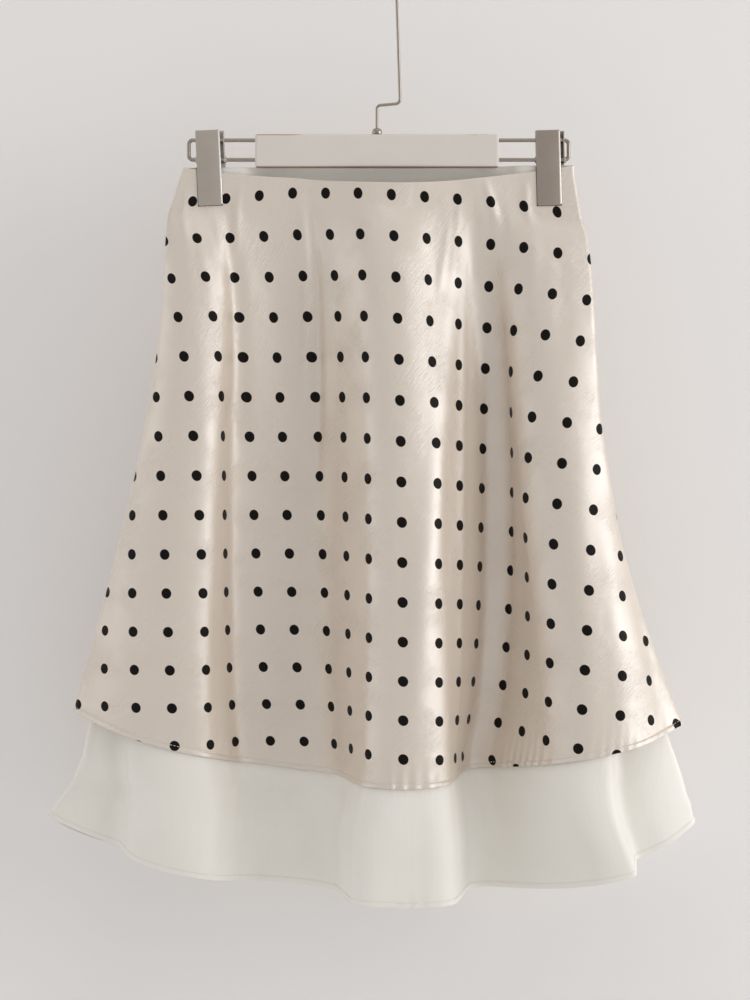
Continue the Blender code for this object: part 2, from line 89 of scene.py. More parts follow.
# Folds: column and depth in mm at the waist, half way, satin hem, underskirt hem; easing each side.
frontFolds = (
    ((-4.8, -6.3, -7.0, -7.2), (-2.75, -32, -27, -32), (2.0, 1.1)),
    ((-2.1, -3.2, -3.7, -3.9), (-2.9, 13, 23, 24), (1.3, 1.9)),
    ((0.58, 0.93, 0.8, 0.3), (-15, -43, -66, -70), (1.0, 0.4)),
    ((0.62, 0.97, 1.3, 1.7), (-15, -43, -66, -70), (0.4, 1.2)),
    ((3.3, 4.45, 4.55, 4.5), (-6, 11, 10, 8), (0.5, 0.5)),
    ((5.15, 7.3, 8.8, 9.2), (-2.75, -34, -70, -72), (1.7, 1.5)),
)
leftTuck = ((-5.0, -7.1, -9.3, -10.0), (-2.75, -14, 11, 15), (0.4, 0.4))
rightTuck = ((5.95, 8.1, 10.2, 10.4), (-2.75, -22, -14, -2), (0.4, 0.4))
underFolds = (leftTuck,) + frontFolds + (rightTuck,)
backFolds = (
    ((-3.45, -6.0, -6.9, -7.2), (2.75, 42, 70, 76), (1.6, 1.4)),
    ((-2.95, -3.0, -3.3, -3.4), (9.5, 42, 52, 54), (1.4, 1.4)),
    ((0.4, 0.4, 0.6, 0.7), (13, 54, 78, 84), (1.4, 1.4)),
    ((4.25, 4.0, 4.4, 4.5), (9.5, 42, 50, 52), (1.4, 1.4)),
    ((5.15, 6.9, 8.1, 8.4), (2.75, 40, 64, 70), (1.4, 1.6)),
)
seams = dict(
    satin=((-5.35, -7.99, -10.63, -12.7), (6.6, 8.85, 12.6, 13.6)),
    under=((-5.35, -7.7, -10.3, -11.9), (6.6, 8.7, 12.2, 12.9)),
    depths=((0, -7, 26, 29), (0, -14, -6, -6)),
)
# The sections are worked out on these columns and rows; between them sheetPoints interpolates.
knownColumns, knownRows, justShort = 500, np.linspace(-0.5, 19.5, 241), 1.001


def blendDown(values, row):
    waist, middle, hem, under = values
    s = np.clip(row, 0.0, hang["hemRow"]) / hang["hemRow"]
    upper = waist * (1 - s) * (1 - 2 * s) + middle * 4 * s * (1 - s) + hem * s * (2 * s - 1)
    t = np.clip((row - hang["hemRow"]) / (hang["underRow"] - hang["hemRow"]), 0.0, 1.0)
    return upper + (under - hem) * t * t * (3 - 2 * t)


# The folds start softly below the clips.
def belowClips(row):
    def eased(rows):
        return rows * rows / (rows + hang["foldEase"])
    held = eased(np.maximum(row - hang["foldStart"], 0.0)) / eased(hang["hemRow"] - hang["foldStart"])
    return np.where(row < hang["hemRow"], hang["hemRow"] * held ** hang["foldGrowth"], row)


def pitchAcross(row):
    return hang["columnPitch"] - hang["columnSqueeze"] * np.exp(-np.maximum(row, 1.0) / hang["squeezeRows"])


def heightAt(column, row):
    bend = hang["sagSharp"]
    beyond = np.log1p(np.exp(bend * (column - hang["sagFrom"]))) / bend
    right = hang["sagEach"] * np.maximum(column - 1, 0) + hang["sagSteeper"] * beyond
    lift = hang["liftHem"] - hang["liftWaistLess"] * np.exp(-row / hang["liftRows"])
    lift = lift * (1 - np.exp(np.minimum(column - 1, 0) / hang["liftColumns"]))
    droop = hang["droopEach"] * np.exp(-(row - 1) / hang["droopRows"])
    droop = droop * np.maximum(hang["droopFrom"] - column, 0)
    level = hang["firstRow"] - hang["rowPitch"] * (row - 1) + hang["rowRelax"] * (row * row - 1)
    return level - right + lift - droop


def edgeRow(edge, column):
    lowest, middle, rise, farRise = edges[edge]
    aside = column - middle
    return lowest - rise * aside ** 2 - farRise * aside ** 4


def waistRow(column, isBack):
    left, right = blendDown(seams["satin"][0], 0.0), blendDown(seams["satin"][1], 0.0)
    share = np.clip((column - left) / (right - left), 0, 1)
    return edgeRow("waist", column) - (hang["backRise"] * np.sin(pi * share) if isBack else 0.0)


def rollLength(row):
    growth = np.clip((row - hang["clipRow"]) / hang["rollRows"], 0, 1)
    return hang["rollPinched"] + (hang["rollFree"] - hang["rollPinched"]) * growth


# One row of the front (side -1) or the back (side 1), from above: columns, X and Y.
def crossSection(row, folds, side, layer):
    ends = [blendDown(seam, row) for seam in seams[layer]]
    places = [ends[0]] + [blendDown(fold[0], row) for fold in folds] + [ends[1]]
    down = belowClips(row)
    half = hang["pinchedHalf"] + hang["rollBulge"] * (rollLength(row) - hang["rollPinched"])
    sideDepths = [blendDown(depth, down) / 1000 + side * half for depth in seams["depths"]]
    depths = [sideDepths[0]] + [blendDown(fold[1], down) / 1000 for fold in folds] + [sideDepths[1]]
    atSeam = (hang["seamEase"], hang["seamEase"])
    eases = [atSeam] + [fold[2] for fold in folds] + [atSeam]
    columns = np.linspace(places[0], places[-1], knownColumns)
    slope = np.zeros_like(columns)
    for k in range(len(places) - 1):
        span = places[k + 1] - places[k]
        leave, arrive = eases[k][1], eases[k + 1][0]
        shrink = min(1.0, span / (leave + arrive))
        leave, arrive = leave * shrink, arrive * shrink
        peak = (depths[k + 1] - depths[k]) / (span - (leave + arrive) / 2)
        inside = (columns >= places[k]) & (columns <= places[k + 1])
        on = columns[inside] - places[k]
        slope[inside] = peak * np.clip(np.minimum(on / leave, (span - on) / arrive), 0, 1)
    pitch, roll, turned = pitchAcross(row), rollLength(row), side * pi / 2
    angle = np.arcsin(np.clip(slope / pitch, -hang["steepest"], hang["steepest"]))
    toLeft = (columns - columns[0]) * pitch
    toRight = (columns[-1] - columns) * pitch
    angle = np.where(toLeft < roll, turned + (angle - turned) * toLeft / roll, angle)
    angle = np.where(toRight < roll, -turned + (angle + turned) * toRight / roll, angle)
    step = toLeft[1]
    x = np.concatenate([[0.0], np.cumsum(np.cos(angle[1:]) + np.cos(angle[:-1])) * step / 2])
    y = np.concatenate([[0.0], np.cumsum(np.sin(angle[1:]) + np.sin(angle[:-1])) * step / 2])
    middle = len(places) // 2
    x -= np.interp(places[middle], columns, x)
    y += depths[middle] - np.interp(places[middle], columns, y)
    return columns, x, y


def pulledEnds(columns, values, leftBy, rightBy, reach):
    nearLeft = np.clip(1 - (columns - columns[0]) / reach, 0, 1) ** 2
    nearRight = np.clip(1 - (columns[-1] - columns) / reach, 0, 1) ** 2
    return values + leftBy * nearLeft + rightBy * nearRight


def turnedEnds(columns, values, leftBy, rightBy, row):
    roll = rollLength(row)
    most = hang["turnShare"] * roll * np.clip((row - hang["ownRow"]) / hang["turnRows"], 0, 1)
    leftTurn, rightTurn = np.clip(leftBy, -most, most), np.clip(rightBy, -most, most)
    values = pulledEnds(columns, values, leftBy - leftTurn, rightBy - rightTurn, hang["pullRest"])
    toLeft = np.clip((columns - columns[0]) * pitchAcross(row) / roll, 0, 1)
    toRight = np.clip((columns[-1] - columns) * pitchAcross(row) / roll, 0, 1)
    values = values + leftTurn * (1 - np.sqrt(1 - (1 - toLeft) ** 2))
    return values + rightTurn * (1 - np.sqrt(1 - (1 - toRight) ** 2))


def sheetTables():
    found = {name: [] for name in ("satin_front", "satin_back", "under_front", "under_back")}
    for row in knownRows:
        columns, x, y = crossSection(row, frontFolds, -1, "satin")
        toWaist = np.exp(-max(row, 1.0) / hang["columnOneRows"])
        columnOne = hang["columnOneBelow"] + (hang["columnOneWaist"] - hang["columnOneBelow"]) * toWaist
        x = x + columnOne - np.interp(1.0, columns, x)
        backColumns, xb, yb = crossSection(row, backFolds, 1, "satin")
        pivot = (x[0] + x[-1]) / 2
        xb = pivot + (xb - (xb[0] + xb[-1]) / 2) * (x[-1] - x[0]) / (xb[-1] - xb[0])
        yb = pulledEnds(backColumns, yb, y[0] - yb[0], y[-1] - yb[-1], hang["pullBack"])
        found["satin_front"].append((x, y))
        found["satin_back"].append((xb, yb))

        inner, xu, yu = crossSection(row, underFolds, -1, "under")
        xu = xu + np.interp(1.0, columns, x) - np.interp(1.0, inner, xu)
        leftEnd, rightEnd = np.interp(xu[0], xb, yb), np.interp(xu[-1], xb, yb)
        seamLeft = y[0] if xu[0] - x[0] < hang["sameSeam"] else (yu[0] + leftEnd) / 2
        seamRight = y[-1] if x[-1] - xu[-1] < hang["sameSeam"] else (yu[-1] + rightEnd) / 2
        yu = pulledEnds(inner, yu, seamLeft - yu[0], seamRight - yu[-1], hang["pullUnder"])
        own = np.clip((row - hang["clipRow"]) / (hang["ownRow"] - hang["clipRow"]), 0, 1)
        own = own * own * (3 - 2 * own)
        near = pulledEnds(inner, inner, columns[0] - inner[0], columns[-1] - inner[-1], hang["pullWidth"])
        xn, yn = np.interp(near, columns, x), np.interp(near, columns, y)
        found["under_front"].append((xn + (xu - xn) * own, yn + (yu - yn) * own))
        xn, yn = np.interp(near, backColumns, xb), np.interp(near, backColumns, yb)
        xub = pulledEnds(inner, xn, xu[0] - xb[0], xu[-1] - xb[-1], hang["pullWidth"])
        yub = turnedEnds(inner, np.interp(xub, xb, yb), yu[0] - np.interp(xub[0], xb, yb),
                         yu[-1] - np.interp(xub[-1], xb, yb), row)
        found["under_back"].append((xn + (xub - xn) * own, yn + (yub - yn) * own))
    return {name: np.array(rows) for name, rows in found.items()}


tables = sheetTables()
print("cloth sections worked out")


def sheetPoints(name, column, row):
    left, right = (blendDown(seam, row) for seam in seams[name.split("_")[0]])
    share = (column - left) / (right - left)
    table = tables[name]
    r = np.clip((row - knownRows[0]) / (knownRows[1] - knownRows[0]), 0, len(knownRows) - justShort)
    c = np.clip(share * (knownColumns - 1), 0, knownColumns - justShort)
    r0, c0 = r.astype(int), c.astype(int)
    fr, fc = r - r0, c - c0
    place = []
    for axis in (0, 1):
        top = table[r0, axis, c0] * (1 - fc) + table[r0, axis, c0 + 1] * fc
        low = table[r0 + 1, axis, c0] * (1 - fc) + table[r0 + 1, axis, c0 + 1] * fc
        place.append(top * (1 - fr) + low * fr)
    return np.stack([place[0], place[1], heightAt(column, row)], axis=-1)


def inwardAt(name, columns, rows):
    nudge = 0.03
    across = sheetPoints(name, columns + nudge, rows) - sheetPoints(name, columns - nudge, rows)
    up = sheetPoints(name, columns, rows - nudge) - sheetPoints(name, columns, rows + nudge)
    inward = np.cross(up, across) * (-1 if name.endswith("back") else 1)
    inward /= np.linalg.norm(inward, axis=-1, keepdims=True)
    inward[:, 0] = (1, 0, 0)
    inward[:, -1] = (-1, 0, 0)
    return inward


# Creases and puckers, given one by one: where each starts and ends (column, row), its width in
# columns, and its depth in mm, into the skirt (+) or out of it (-).
frontCreases = (
    ((-3.66, 0.5), (-3.95, 2.9), 0.13, -1.3),
    ((-4.00, 0.6), (-4.60, 8.4), 0.30, 5.2),
    ((-4.45, 3.6), (-5.15, 21.0), 0.38, 3.6),
    ((-3.25, 0.9), (-3.65, 21.0), 0.85, -5.6),
    ((-5.10, 1.2), (-6.60, 22.0), 0.40, -1.2),
    ((-4.75, 1.5), (-5.05, 4.6), 0.18, -0.9),
    ((-5.12, 0.4), (-5.22, 2.6), 0.12, -0.9),
    ((-4.45, 1.4), (-4.55, 3.0), 0.14, 0.7),
    ((-1.80, 0.6), (-2.36, 6.6), 0.16, -1.9),
    ((-1.56, 0.4), (-2.18, 9.5), 0.19, 3.3),
    ((-0.55, 1.0), (-0.75, 4.4), 0.26, -0.6),
    ((0.6, 1.2), (0.8, 4.5), 0.35, 0.5),
    ((2.15, 1.1), (2.0, 5.0), 0.26, 0.9),
    ((2.68, 1.2), (2.35, 3.6), 0.13, -1.2),
    ((3.05, 0.95), (2.9, 3.2), 0.14, -1.1),
    ((3.92, 0.4), (4.05, 1.7), 0.13, -1.4),
    ((3.65, 0.7), (3.45, 3.4), 0.20, 0.9),
    ((4.20, 0.8), (4.30, 2.6), 0.18, 0.8),
    ((5.02, 0.3), (5.25, 1.5), 0.12, -1.3),
    ((5.30, 1.3), (5.75, 4.6), 0.22, -0.8),
    ((6.05, 1.5), (6.45, 5.0), 0.24, 0.8),
    ((3.25, 0.6), (0.35, 20.0), 0.46, -3.2),
    ((7.4, 5.5), (8.8, 20.0), 0.50, -2.4),
    ((3.35, 1.0), (3.10, 21.0), 0.16, -0.9),
    ((4.05, 3.0), (4.55, 23.0), 0.17, 1.5),
    ((5.3, 6.0), (5.7, 15.0), 0.34, -0.9),
    ((-6.9, 7.2), (-7.9, 15.5), 0.45, 0.9),
    ((8.3, 7.4), (9.2, 14.6), 0.36, -1.3),
    ((9.7, 9.4), (10.9, 13.9), 0.34, 1.5),
    ((10.4, 11.5), (11.5, 13.6), 0.30, -1.2),
)
backCreases = (
    ((-3.6, 0.5), (-4.1, 5.5), 0.18, -1.4),
    ((-3.1, 0.9), (-2.9, 5.0), 0.24, 1.2),
    ((-4.5, 1.9), (-5.2, 7.0), 0.26, -1.1),
    ((-1.6, 0.8), (-1.9, 4.8), 0.20, -1.1),
    ((0.1, 0.9), (0.0, 4.4), 0.32, 0.8),
    ((1.7, 0.8), (1.9, 5.4), 0.22, -1.2),
    ((3.2, 0.9), (3.0, 4.2), 0.26, 1.0),
    ((4.6, 0.5), (4.4, 3.6), 0.18, -1.3),
    ((5.9, 1.9), (6.3, 5.4), 0.26, -1.0),
    ((-6.9, 7.5), (-8.2, 14.6), 0.40, 0.9),
    ((-1.4, 7.0), (-1.3, 15.2), 0.42, -1.0),
    ((2.4, 6.5), (2.7, 15.0), 0.38, 1.0),
    ((6.0, 8.0), (6.7, 14.8), 0.36, -1.0),
    ((9.0, 8.5), (10.2, 13.6), 0.42, 0.9),
)
underCreases = (
    ((-8.6, 15.4), (-8.9, 18.2), 0.35, -1.2),
    ((-5.4, 15.6), (-5.8, 18.8), 0.40, 1.3),
    ((-1.7, 15.8), (-1.9, 19.0), 0.35, -1.2),
    ((2.4, 15.8), (2.5, 19.0), 0.32, 1.0),
    ((5.9, 15.4), (6.0, 18.6), 0.36, -1.3),
    ((7.7, 15.2), (8.0, 18.4), 0.30, 1.1),
)


# A crease bows from side to side on its way, fades out at both ends and widens downwards.
creaseShape = dict(bow=0.12, bowPitch=2.3, bowStart=3, ease=3.2, narrow=0.8, widen=0.5)


def creaseDepth(creases, column, row):
    shape, depth = creaseShape, np.zeros_like(column)
    for (c0, r0), (c1, r1), width, deep in creases:
        along = np.clip((row - r0) / (r1 - r0), 0, 1)
        bow = shape["bow"] * np.sin(shape["bowPitch"] * along + shape["bowStart"] * c0)
        middle = c0 + (c1 - c0) * along + bow
        reach = smoothStep(shape["ease"] * along) * smoothStep(shape["ease"] * (1 - along))
        spread = width * (shape["narrow"] + shape["widen"] * along)
        depth += deep / 1000 * reach * np.exp(-((column - middle) / spread) ** 2)
    return depth


# What both layers share. The lines are distances in m from an edge at which the mesh has closer
# rows. The seam's fold starts at a row, the hem's band shows in spans of columns, and its puckers
# come at a pitch in columns.
sewing = dict(
    waistLines=(0.0003, 0.0006, 0.001, 0.0016, 0.0026, 0.004), waistTurn=0.0013, settlePasses=10,
    creaseFade=0.012, seamDip=0.0005, seamWidth=0.0016, foldWidth=0.0115, foldEdge=0.002, foldFrom=13,
    foldRows=1.5, bandEdge=0.0006, bandStart=0.04, bandEnd=0.8, bandLeast=0.3, bandMore=1.9,
    stitchWidth=0.0009, ripple=22, wander=2.2, wanderPitch=2.1, puckerLeast=0.4, puckerMore=1.8,
    unevenPitches=(1.7, 0.61), seeds=(0.4, 1.3), seedTurn=2.3,
)
satinCut = dict(
    sewing, length=0.545, rows=16.0, across=296, down=126, thickness=0.0006,
    hemLines=(0.0075, 0.0058, 0.0049, 0.0044, 0.004, 0.0036, 0.0028, 0.0018, 0.0009, 0.0004),
    hemBand=0.0042, bandProud=0.00035, stitchDip=0.0005, pucker=0.0007, puckerReach=0.012, seamFold=0.0,
)
underCut = dict(
    sewing, length=0.65, rows=19.0, across=276, down=136, thickness=0.0005,
    hemLines=(0.0075, 0.0062, 0.005, 0.0044, 0.004, 0.0036, 0.0028, 0.0018, 0.0009, 0.0004),
    hemBand=0.0046, bandProud=0.0003, stitchDip=0.00035, pucker=0.0004, puckerReach=0.008, seamFold=0.0014,
)


def panelGrid(name, cut):
    layer, isBack = name.split("_")[0], name.endswith("back")
    length, waistLines, hemLines = cut["length"], cut["waistLines"], cut["hemLines"]
    between = np.linspace(waistLines[-1], length - hemLines[0], cut["down"])[1:-1]
    shares = np.concatenate([[0.0], waistLines, between, length - np.array(hemLines), [length]]) / length
    columns, rows = [], []
    for share in shares:
        ends = []
        for seam in seams[layer]:
            row = share * cut["rows"]
            for _ in range(cut["settlePasses"]):
                column = blendDown(seam, row)
                top = waistRow(column, isBack)
                row = top + (edgeRow(layer, column) - top) * share
            ends.append(blendDown(seam, row))
        line = np.linspace(ends[0], ends[1], cut["across"] + 1)
        top = waistRow(line, isBack)
        columns.append(line)
        rows.append(top + (edgeRow(layer, line) - top) * share)
    return np.array(columns), np.array(rows)


def smoothStep(values):
    s = np.clip(values, 0, 1)
    return s * s * (3 - 2 * s)


def unevenness(column, seed):
    quick, slow = sewing["unevenPitches"]
    return 0.5 + 0.5 * np.sin(quick * column + seed) * np.sin(slow * column + sewing["seedTurn"] * seed)


# Between the clips the back bends gently, not at one line.
def easedBend(depth, columns, rows):
    soft = depth.copy()
    for _ in range(hang["bendPasses"]):
        soft[1:-1] += 0.25 * (soft[2:] - 2 * soft[1:-1] + soft[:-2])
    share = smoothStep((hang["bendRows"] - rows) / hang["bendFade"])
    for clip in hang["clipColumns"]:
        share = share * smoothStep((np.abs(columns - clip) - hang["clipHold"]) / hang["clipFade"])
    return depth + (soft - depth) * share


def clothPanel(name, title, cut, creases, hemCreases, bandSpans):
    layer, isBack = name.split("_")[0], name.endswith("back")
    columns, rows = panelGrid(name, cut)
    surface = sheetPoints(name, columns, rows)
    if isBack:
        surface[..., 1] = easedBend(surface[..., 1], columns, rows)
    inward = inwardAt(name, columns, rows)
    fromWaist = np.linalg.norm(surface - surface[:1], axis=-1)
    fromHem = np.linalg.norm(surface - surface[-1:], axis=-1)
    step = np.linalg.norm(np.diff(surface, axis=1), axis=-1)
    along = np.concatenate([np.zeros((len(rows), 1)), np.cumsum(step, axis=1)], axis=1)
    fromSeam = np.minimum(along, along[:, -1:] - along)

    offset = creaseDepth(creases, columns, rows) * smoothStep(fromSeam / cut["creaseFade"])
    offset += creaseDepth(hemCreases, columns, rows)
    if layer == "under":
        loose = smoothStep((rows - hang["clipRow"]) / (hang["freeRow"] - hang["clipRow"]))
        inset = np.minimum(columns - columns[:, :1], columns[:, -1:] - columns)
        loose = loose * np.clip(inset / hang["snugColumns"], 0, 1)
        offset += hang["gapPinched"] + (hang["gapFree"] - hang["gapPinched"]) * loose
    turn = cut["waistTurn"]
    rounding = np.clip(1 - fromWaist / turn, 0, 1)
    offset += turn * 0.5 * (1 - np.sqrt(1 - rounding ** 2))
    offset += cut["seamDip"] * np.exp(-(fromSeam / cut["seamWidth"]) ** 2)
    pressed = smoothStep((cut["foldWidth"] - fromSeam) / cut["foldEdge"] + 0.5)
    offset -= cut["seamFold"] * pressed * smoothStep((rows - cut["foldFrom"]) / cut["foldRows"])
    band = smoothStep((cut["hemBand"] - fromHem) / cut["bandEdge"] + 0.5)
    shown = np.zeros_like(columns)
    for first, last in bandSpans:
        entered = smoothStep((columns - first) / cut["bandStart"])
        shown += entered * smoothStep((last - columns) / cut["bandEnd"])
    offset -= band * cut["bandProud"] * (cut["bandLeast"] + cut["bandMore"] * shown)
    offset += cut["stitchDip"] * np.exp(-((fromHem - cut["hemBand"]) / cut["stitchWidth"]) ** 2)
    ripple = np.sin(columns * cut["ripple"] + cut["wander"] * np.sin(columns * cut["wanderPitch"]))
    ripple = ripple * unevenness(columns, cut["seeds"][isBack])
    share = cut["puckerLeast"] + cut["puckerMore"] * shown
    offset += cut["pucker"] * ripple * np.exp(-fromHem / cut["puckerReach"]) * share
    points = surface + inward * offset[..., None]

    bm = bmesh.new()
    bmesh.ops.create_grid(bm, x_segments=columns.shape[1] - 1, y_segments=len(rows) - 1, size=1)
    if not isBack:
        bmesh.ops.reverse_faces(bm, faces=bm.faces[:])
    mesh = meshFrom(bm, title)
    mesh.vertices.foreach_set("co", points.ravel())
    corners = np.empty(len(mesh.loops), dtype=int)
    mesh.loops.foreach_get("vertex_index", corners)
    places = np.stack([columns.ravel(), rows.ravel()], axis=-1)[corners]
    mesh.uv_layers.new(name="cloth").data.foreach_set("uv", places.ravel())
    for way, values in (("fromHem", fromHem), ("fromSeam", fromSeam)):
        mesh.attributes.new(way, "FLOAT", "POINT").data.foreach_set("value", values.ravel())
    mesh.shade_smooth()
    mesh.update()
    piece = linkPiece(title, mesh, name)
    wall = piece.modifiers.new("wall", "SOLIDIFY")
    wall.thickness = cut["thickness"]
    wall.offset = -1
    print(title, "made,", len(mesh.polygons), "faces")
    return piece, dict(surface=points, inward=inward, fromHem=fromHem)


# Node trees are written with a few helpers. A value that is a socket is linked, any other is set.
# The nodes lie in rows to the left of the shader, in the order in which they are made.
def startMaterial(name):
    made = bpy.data.materials.new(name)
    made.use_nodes = True
    tree = made.node_tree
    return made, tree, tree.nodes["Principled BSDF"]


def fillSockets(tree, node, sockets):
    for key, value in sockets.items():
        if isinstance(value, bpy.types.NodeSocket):
            tree.links.new(value, node.inputs[key])
        else:
            node.inputs[key].default_value = value


def addNode(tree, kind, sockets=None, **settings):
    count = len(tree.nodes)
    node = tree.nodes.new("ShaderNode" + kind)
    node.location = (200 * (count % 8) - 1800, 600 - 300 * (count // 8))
    for key, value in settings.items():
        setattr(node, key, value)
    fillSockets(tree, node, sockets or {})
    return node


def objectPlace(tree):
    return addNode(tree, "TexCoord").outputs["Object"]


def addMapping(tree, vector, vector_type="POINT", **others):
    return addNode(tree, "Mapping", {"Vector": vector, **others}, vector_type=vector_type).outputs[0]


def addNoise(tree, vector, scale, detail=2.0, **others):
    sockets = {"Vector": vector, "Scale": scale, "Detail": detail, **others}
    return addNode(tree, "TexNoise", sockets).outputs[0]


def addRange(tree, value, span, to=(0.0, 1.0), interpolation="LINEAR"):
    sockets = {"Value": value, "From Min": span[0], "From Max": span[1], "To Min": to[0], "To Max": to[1]}
    return addNode(tree, "MapRange", sockets, interpolation_type=interpolation).outputs[0]


def addSoftRange(tree, value, span, to=(0.0, 1.0)):
    return addRange(tree, value, span, to, "SMOOTHSTEP")


def addMath(tree, operation, *values):
    return addNode(tree, "Math", dict(enumerate(values)), operation=operation).outputs[0]


def mixColours(tree, share, low, high):
    mix = addNode(tree, "Mix", {0: share}, data_type="RGBA")
    for key, value in ((6, low), (7, high)):
        fillSockets(tree, mix, {key: value if isinstance(value, bpy.types.NodeSocket) else (*value, 1)})
    return mix.outputs[2]


def addBump(tree, strength, distance, height, **others):
    return addNode(tree, "Bump", {"Strength": strength, "Distance": distance, "Height": height,
                                  **others}).outputs[0]


def addWeave(tree, clothMap, turns, scale, distortion, blend):
    threads = []
    for turn in turns:
        across = addMapping(tree, clothMap, Rotation=(0, 0, radians(turn)))
        sockets = {"Vector": across, "Scale": scale, "Distortion": distortion, "Detail": 1.0}
        threads.append(addNode(tree, "TexWave", sockets).outputs[1])
    return addMath(tree, blend, *threads)


satinLook = dict(
    cloth=(0.661, 0.564, 0.468), clothDeep=(0.627, 0.53, 0.431), dot=(0.006, 0.0045, 0.004),
    dotRadius=0.137, dotEdge=0.006, roughness=0.39, sheen=0.06, sheenRoughness=0.4, ior=2.1,
    shine=1.0, dotShine=0.03, anisotropy=0.3, toneScale=0.35,
    crinkle=0.72, crinkleDepth=0.0012, crinkleTurn=47, crinkleSize=(0.075, 0.95, 1.0), crinkleScale=2.2,
    patchScale=0.8, patchSpan=(0.4, 0.62), patchLeast=0.25, weave=0.12, weaveDepth=0.0002, weaveScale=15.0,
)


def makeSatin():
    look = satinLook
    made, tree, shader = startMaterial("dotted satin")
    clothMap = addNode(tree, "UVMap", uv_map="cloth").outputs[0]

    # the distance from the nearest whole column and row gives the dots
    away = clothMap
    for operation, other in (("ADD", (0.5, 0.5, 0)), ("FRACTION", None), ("SUBTRACT", (0.5, 0.5, 0)),
                             ("MULTIPLY", (1, 1, 0)), ("LENGTH", None)):
        sockets = {0: away, 1: other} if other else {0: away}
        step = addNode(tree, "VectorMath", sockets, operation=operation)
        away = step.outputs["Value" if operation == "LENGTH" else "Vector"]
    radius, soft = look["dotRadius"], look["dotEdge"]
    dots = addSoftRange(tree, away, (radius - soft, radius + soft), (1.0, 0.0))

    # slow changes of tone over the cloth
    tone = addNoise(tree, clothMap, look["toneScale"], 3.0)
    cloth = mixColours(tree, tone, look["clothDeep"], look["cloth"])
    colour = mixColours(tree, dots, cloth, look["dot"])

    # crinkles that run up to the right, in patches, over the fine bias weave
    turned = addMapping(tree, clothMap, vector_type="TEXTURE",
                        Rotation=(0, 0, radians(look["crinkleTurn"])), Scale=look["crinkleSize"])
    crinkle = addNoise(tree, turned, look["crinkleScale"], 4.0, Roughness=0.6, Distortion=0.12)
    patches = addNoise(tree, clothMap, look["patchScale"])
    where = addSoftRange(tree, patches, look["patchSpan"], (look["patchLeast"], 1.0))
    crinkled = addMath(tree, "MULTIPLY", crinkle, where)
    woven = addWeave(tree, clothMap, (45, -45), look["weaveScale"], 1.2, "MULTIPLY")
    bump = addBump(tree, look["crinkle"], look["crinkleDepth"], crinkled)
    bump = addBump(tree, look["weave"], look["weaveDepth"], woven, Normal=bump)
    shine = addRange(tree, dots, (0.0, 1.0), (look["shine"], look["dotShine"]))
    grain = addNode(tree, "Tangent", direction_type="UV_MAP", uv_map="cloth").outputs[0]
    fillSockets(tree, shader, {
        "Base Color": colour, "Roughness": look["roughness"], "IOR": look["ior"], "Normal": bump,
        "Specular IOR Level": shine, "Sheen Weight": look["sheen"],
        "Sheen Roughness": look["sheenRoughness"], "Anisotropic": look["anisotropy"], "Tangent": grain})
    return made


underLook = dict(
    cloth=(0.872, 0.852, 0.80), clothDeep=(0.79, 0.765, 0.70), toneScale=0.5, roughness=0.62, specular=0.35,
    sheen=0.15, sheenRoughness=0.5, weave=0.25, weaveDepth=0.0002, weaveScale=14.0,
    slub=0.2, slubDepth=0.0015, slubSize=(3.0, 0.25, 1.0), slubScale=1.5,
)


def makeUnderCloth():
    look = underLook
    made, tree, shader = startMaterial("plain ivory cloth")
    clothMap = addNode(tree, "UVMap", uv_map="cloth").outputs[0]
    tone = addNoise(tree, clothMap, look["toneScale"], 3.0)
    cloth = mixColours(tree, tone, look["clothDeep"], look["cloth"])
    woven = addWeave(tree, clothMap, (0, 90), look["weaveScale"], 1.5, "MAXIMUM")
    streaks = addMapping(tree, clothMap, Scale=look["slubSize"])
    slub = addNoise(tree, streaks, look["slubScale"], 3.0)
    bump = addBump(tree, look["slub"], look["slubDepth"], slub)
    bump = addBump(tree, look["weave"], look["weaveDepth"], woven, Normal=bump)
    fillSockets(tree, shader, {
        "Base Color": cloth, "Roughness": look["roughness"], "Specular IOR Level": look["specular"],
        "Sheen Weight": look["sheen"], "Sheen Roughness": look["sheenRoughness"], "Normal": bump})
    return made


satinFinish, underFinish = makeSatin(), makeUnderCloth()
satinFront, satinFrontEdge = clothPanel("satin_front", "satinFront", satinCut, frontCreases, (),
                                        ((0.55, 2.6), (5.2, 13.0)))
satinBack, satinBackEdge = clothPanel("satin_back", "satinBack", satinCut, backCreases, (),
                                      ((-9.0, -3.0), (1.5, 5.0)))
underFront, underFrontEdge = clothPanel("under_front", "underFront", underCut, frontCreases, underCreases,
                                        ((1.0, 6.0),))
underBack, underBackEdge = clothPanel("under_back", "underBack", underCut, backCreases, (),
                                      ((-4.0, 2.0),))
for piece in (satinFront, satinBack):
    piece.data.materials.append(satinFinish)
for piece in (underFront, underBack):
    piece.data.materials.append(underFinish)


# Topstitches along the hems: one short rounded stitch after another.
stitchPlan = dict(
    pitch=0.0031, length=0.0022, radius=0.00027, proud=0.0002, margin=0.006, ahead=0.001, around=6,
    along=5, atOnce=25,
)


def alongLine(at, way, values):
    return np.array([np.interp(at, way, values[:, k]) for k in range(3)])


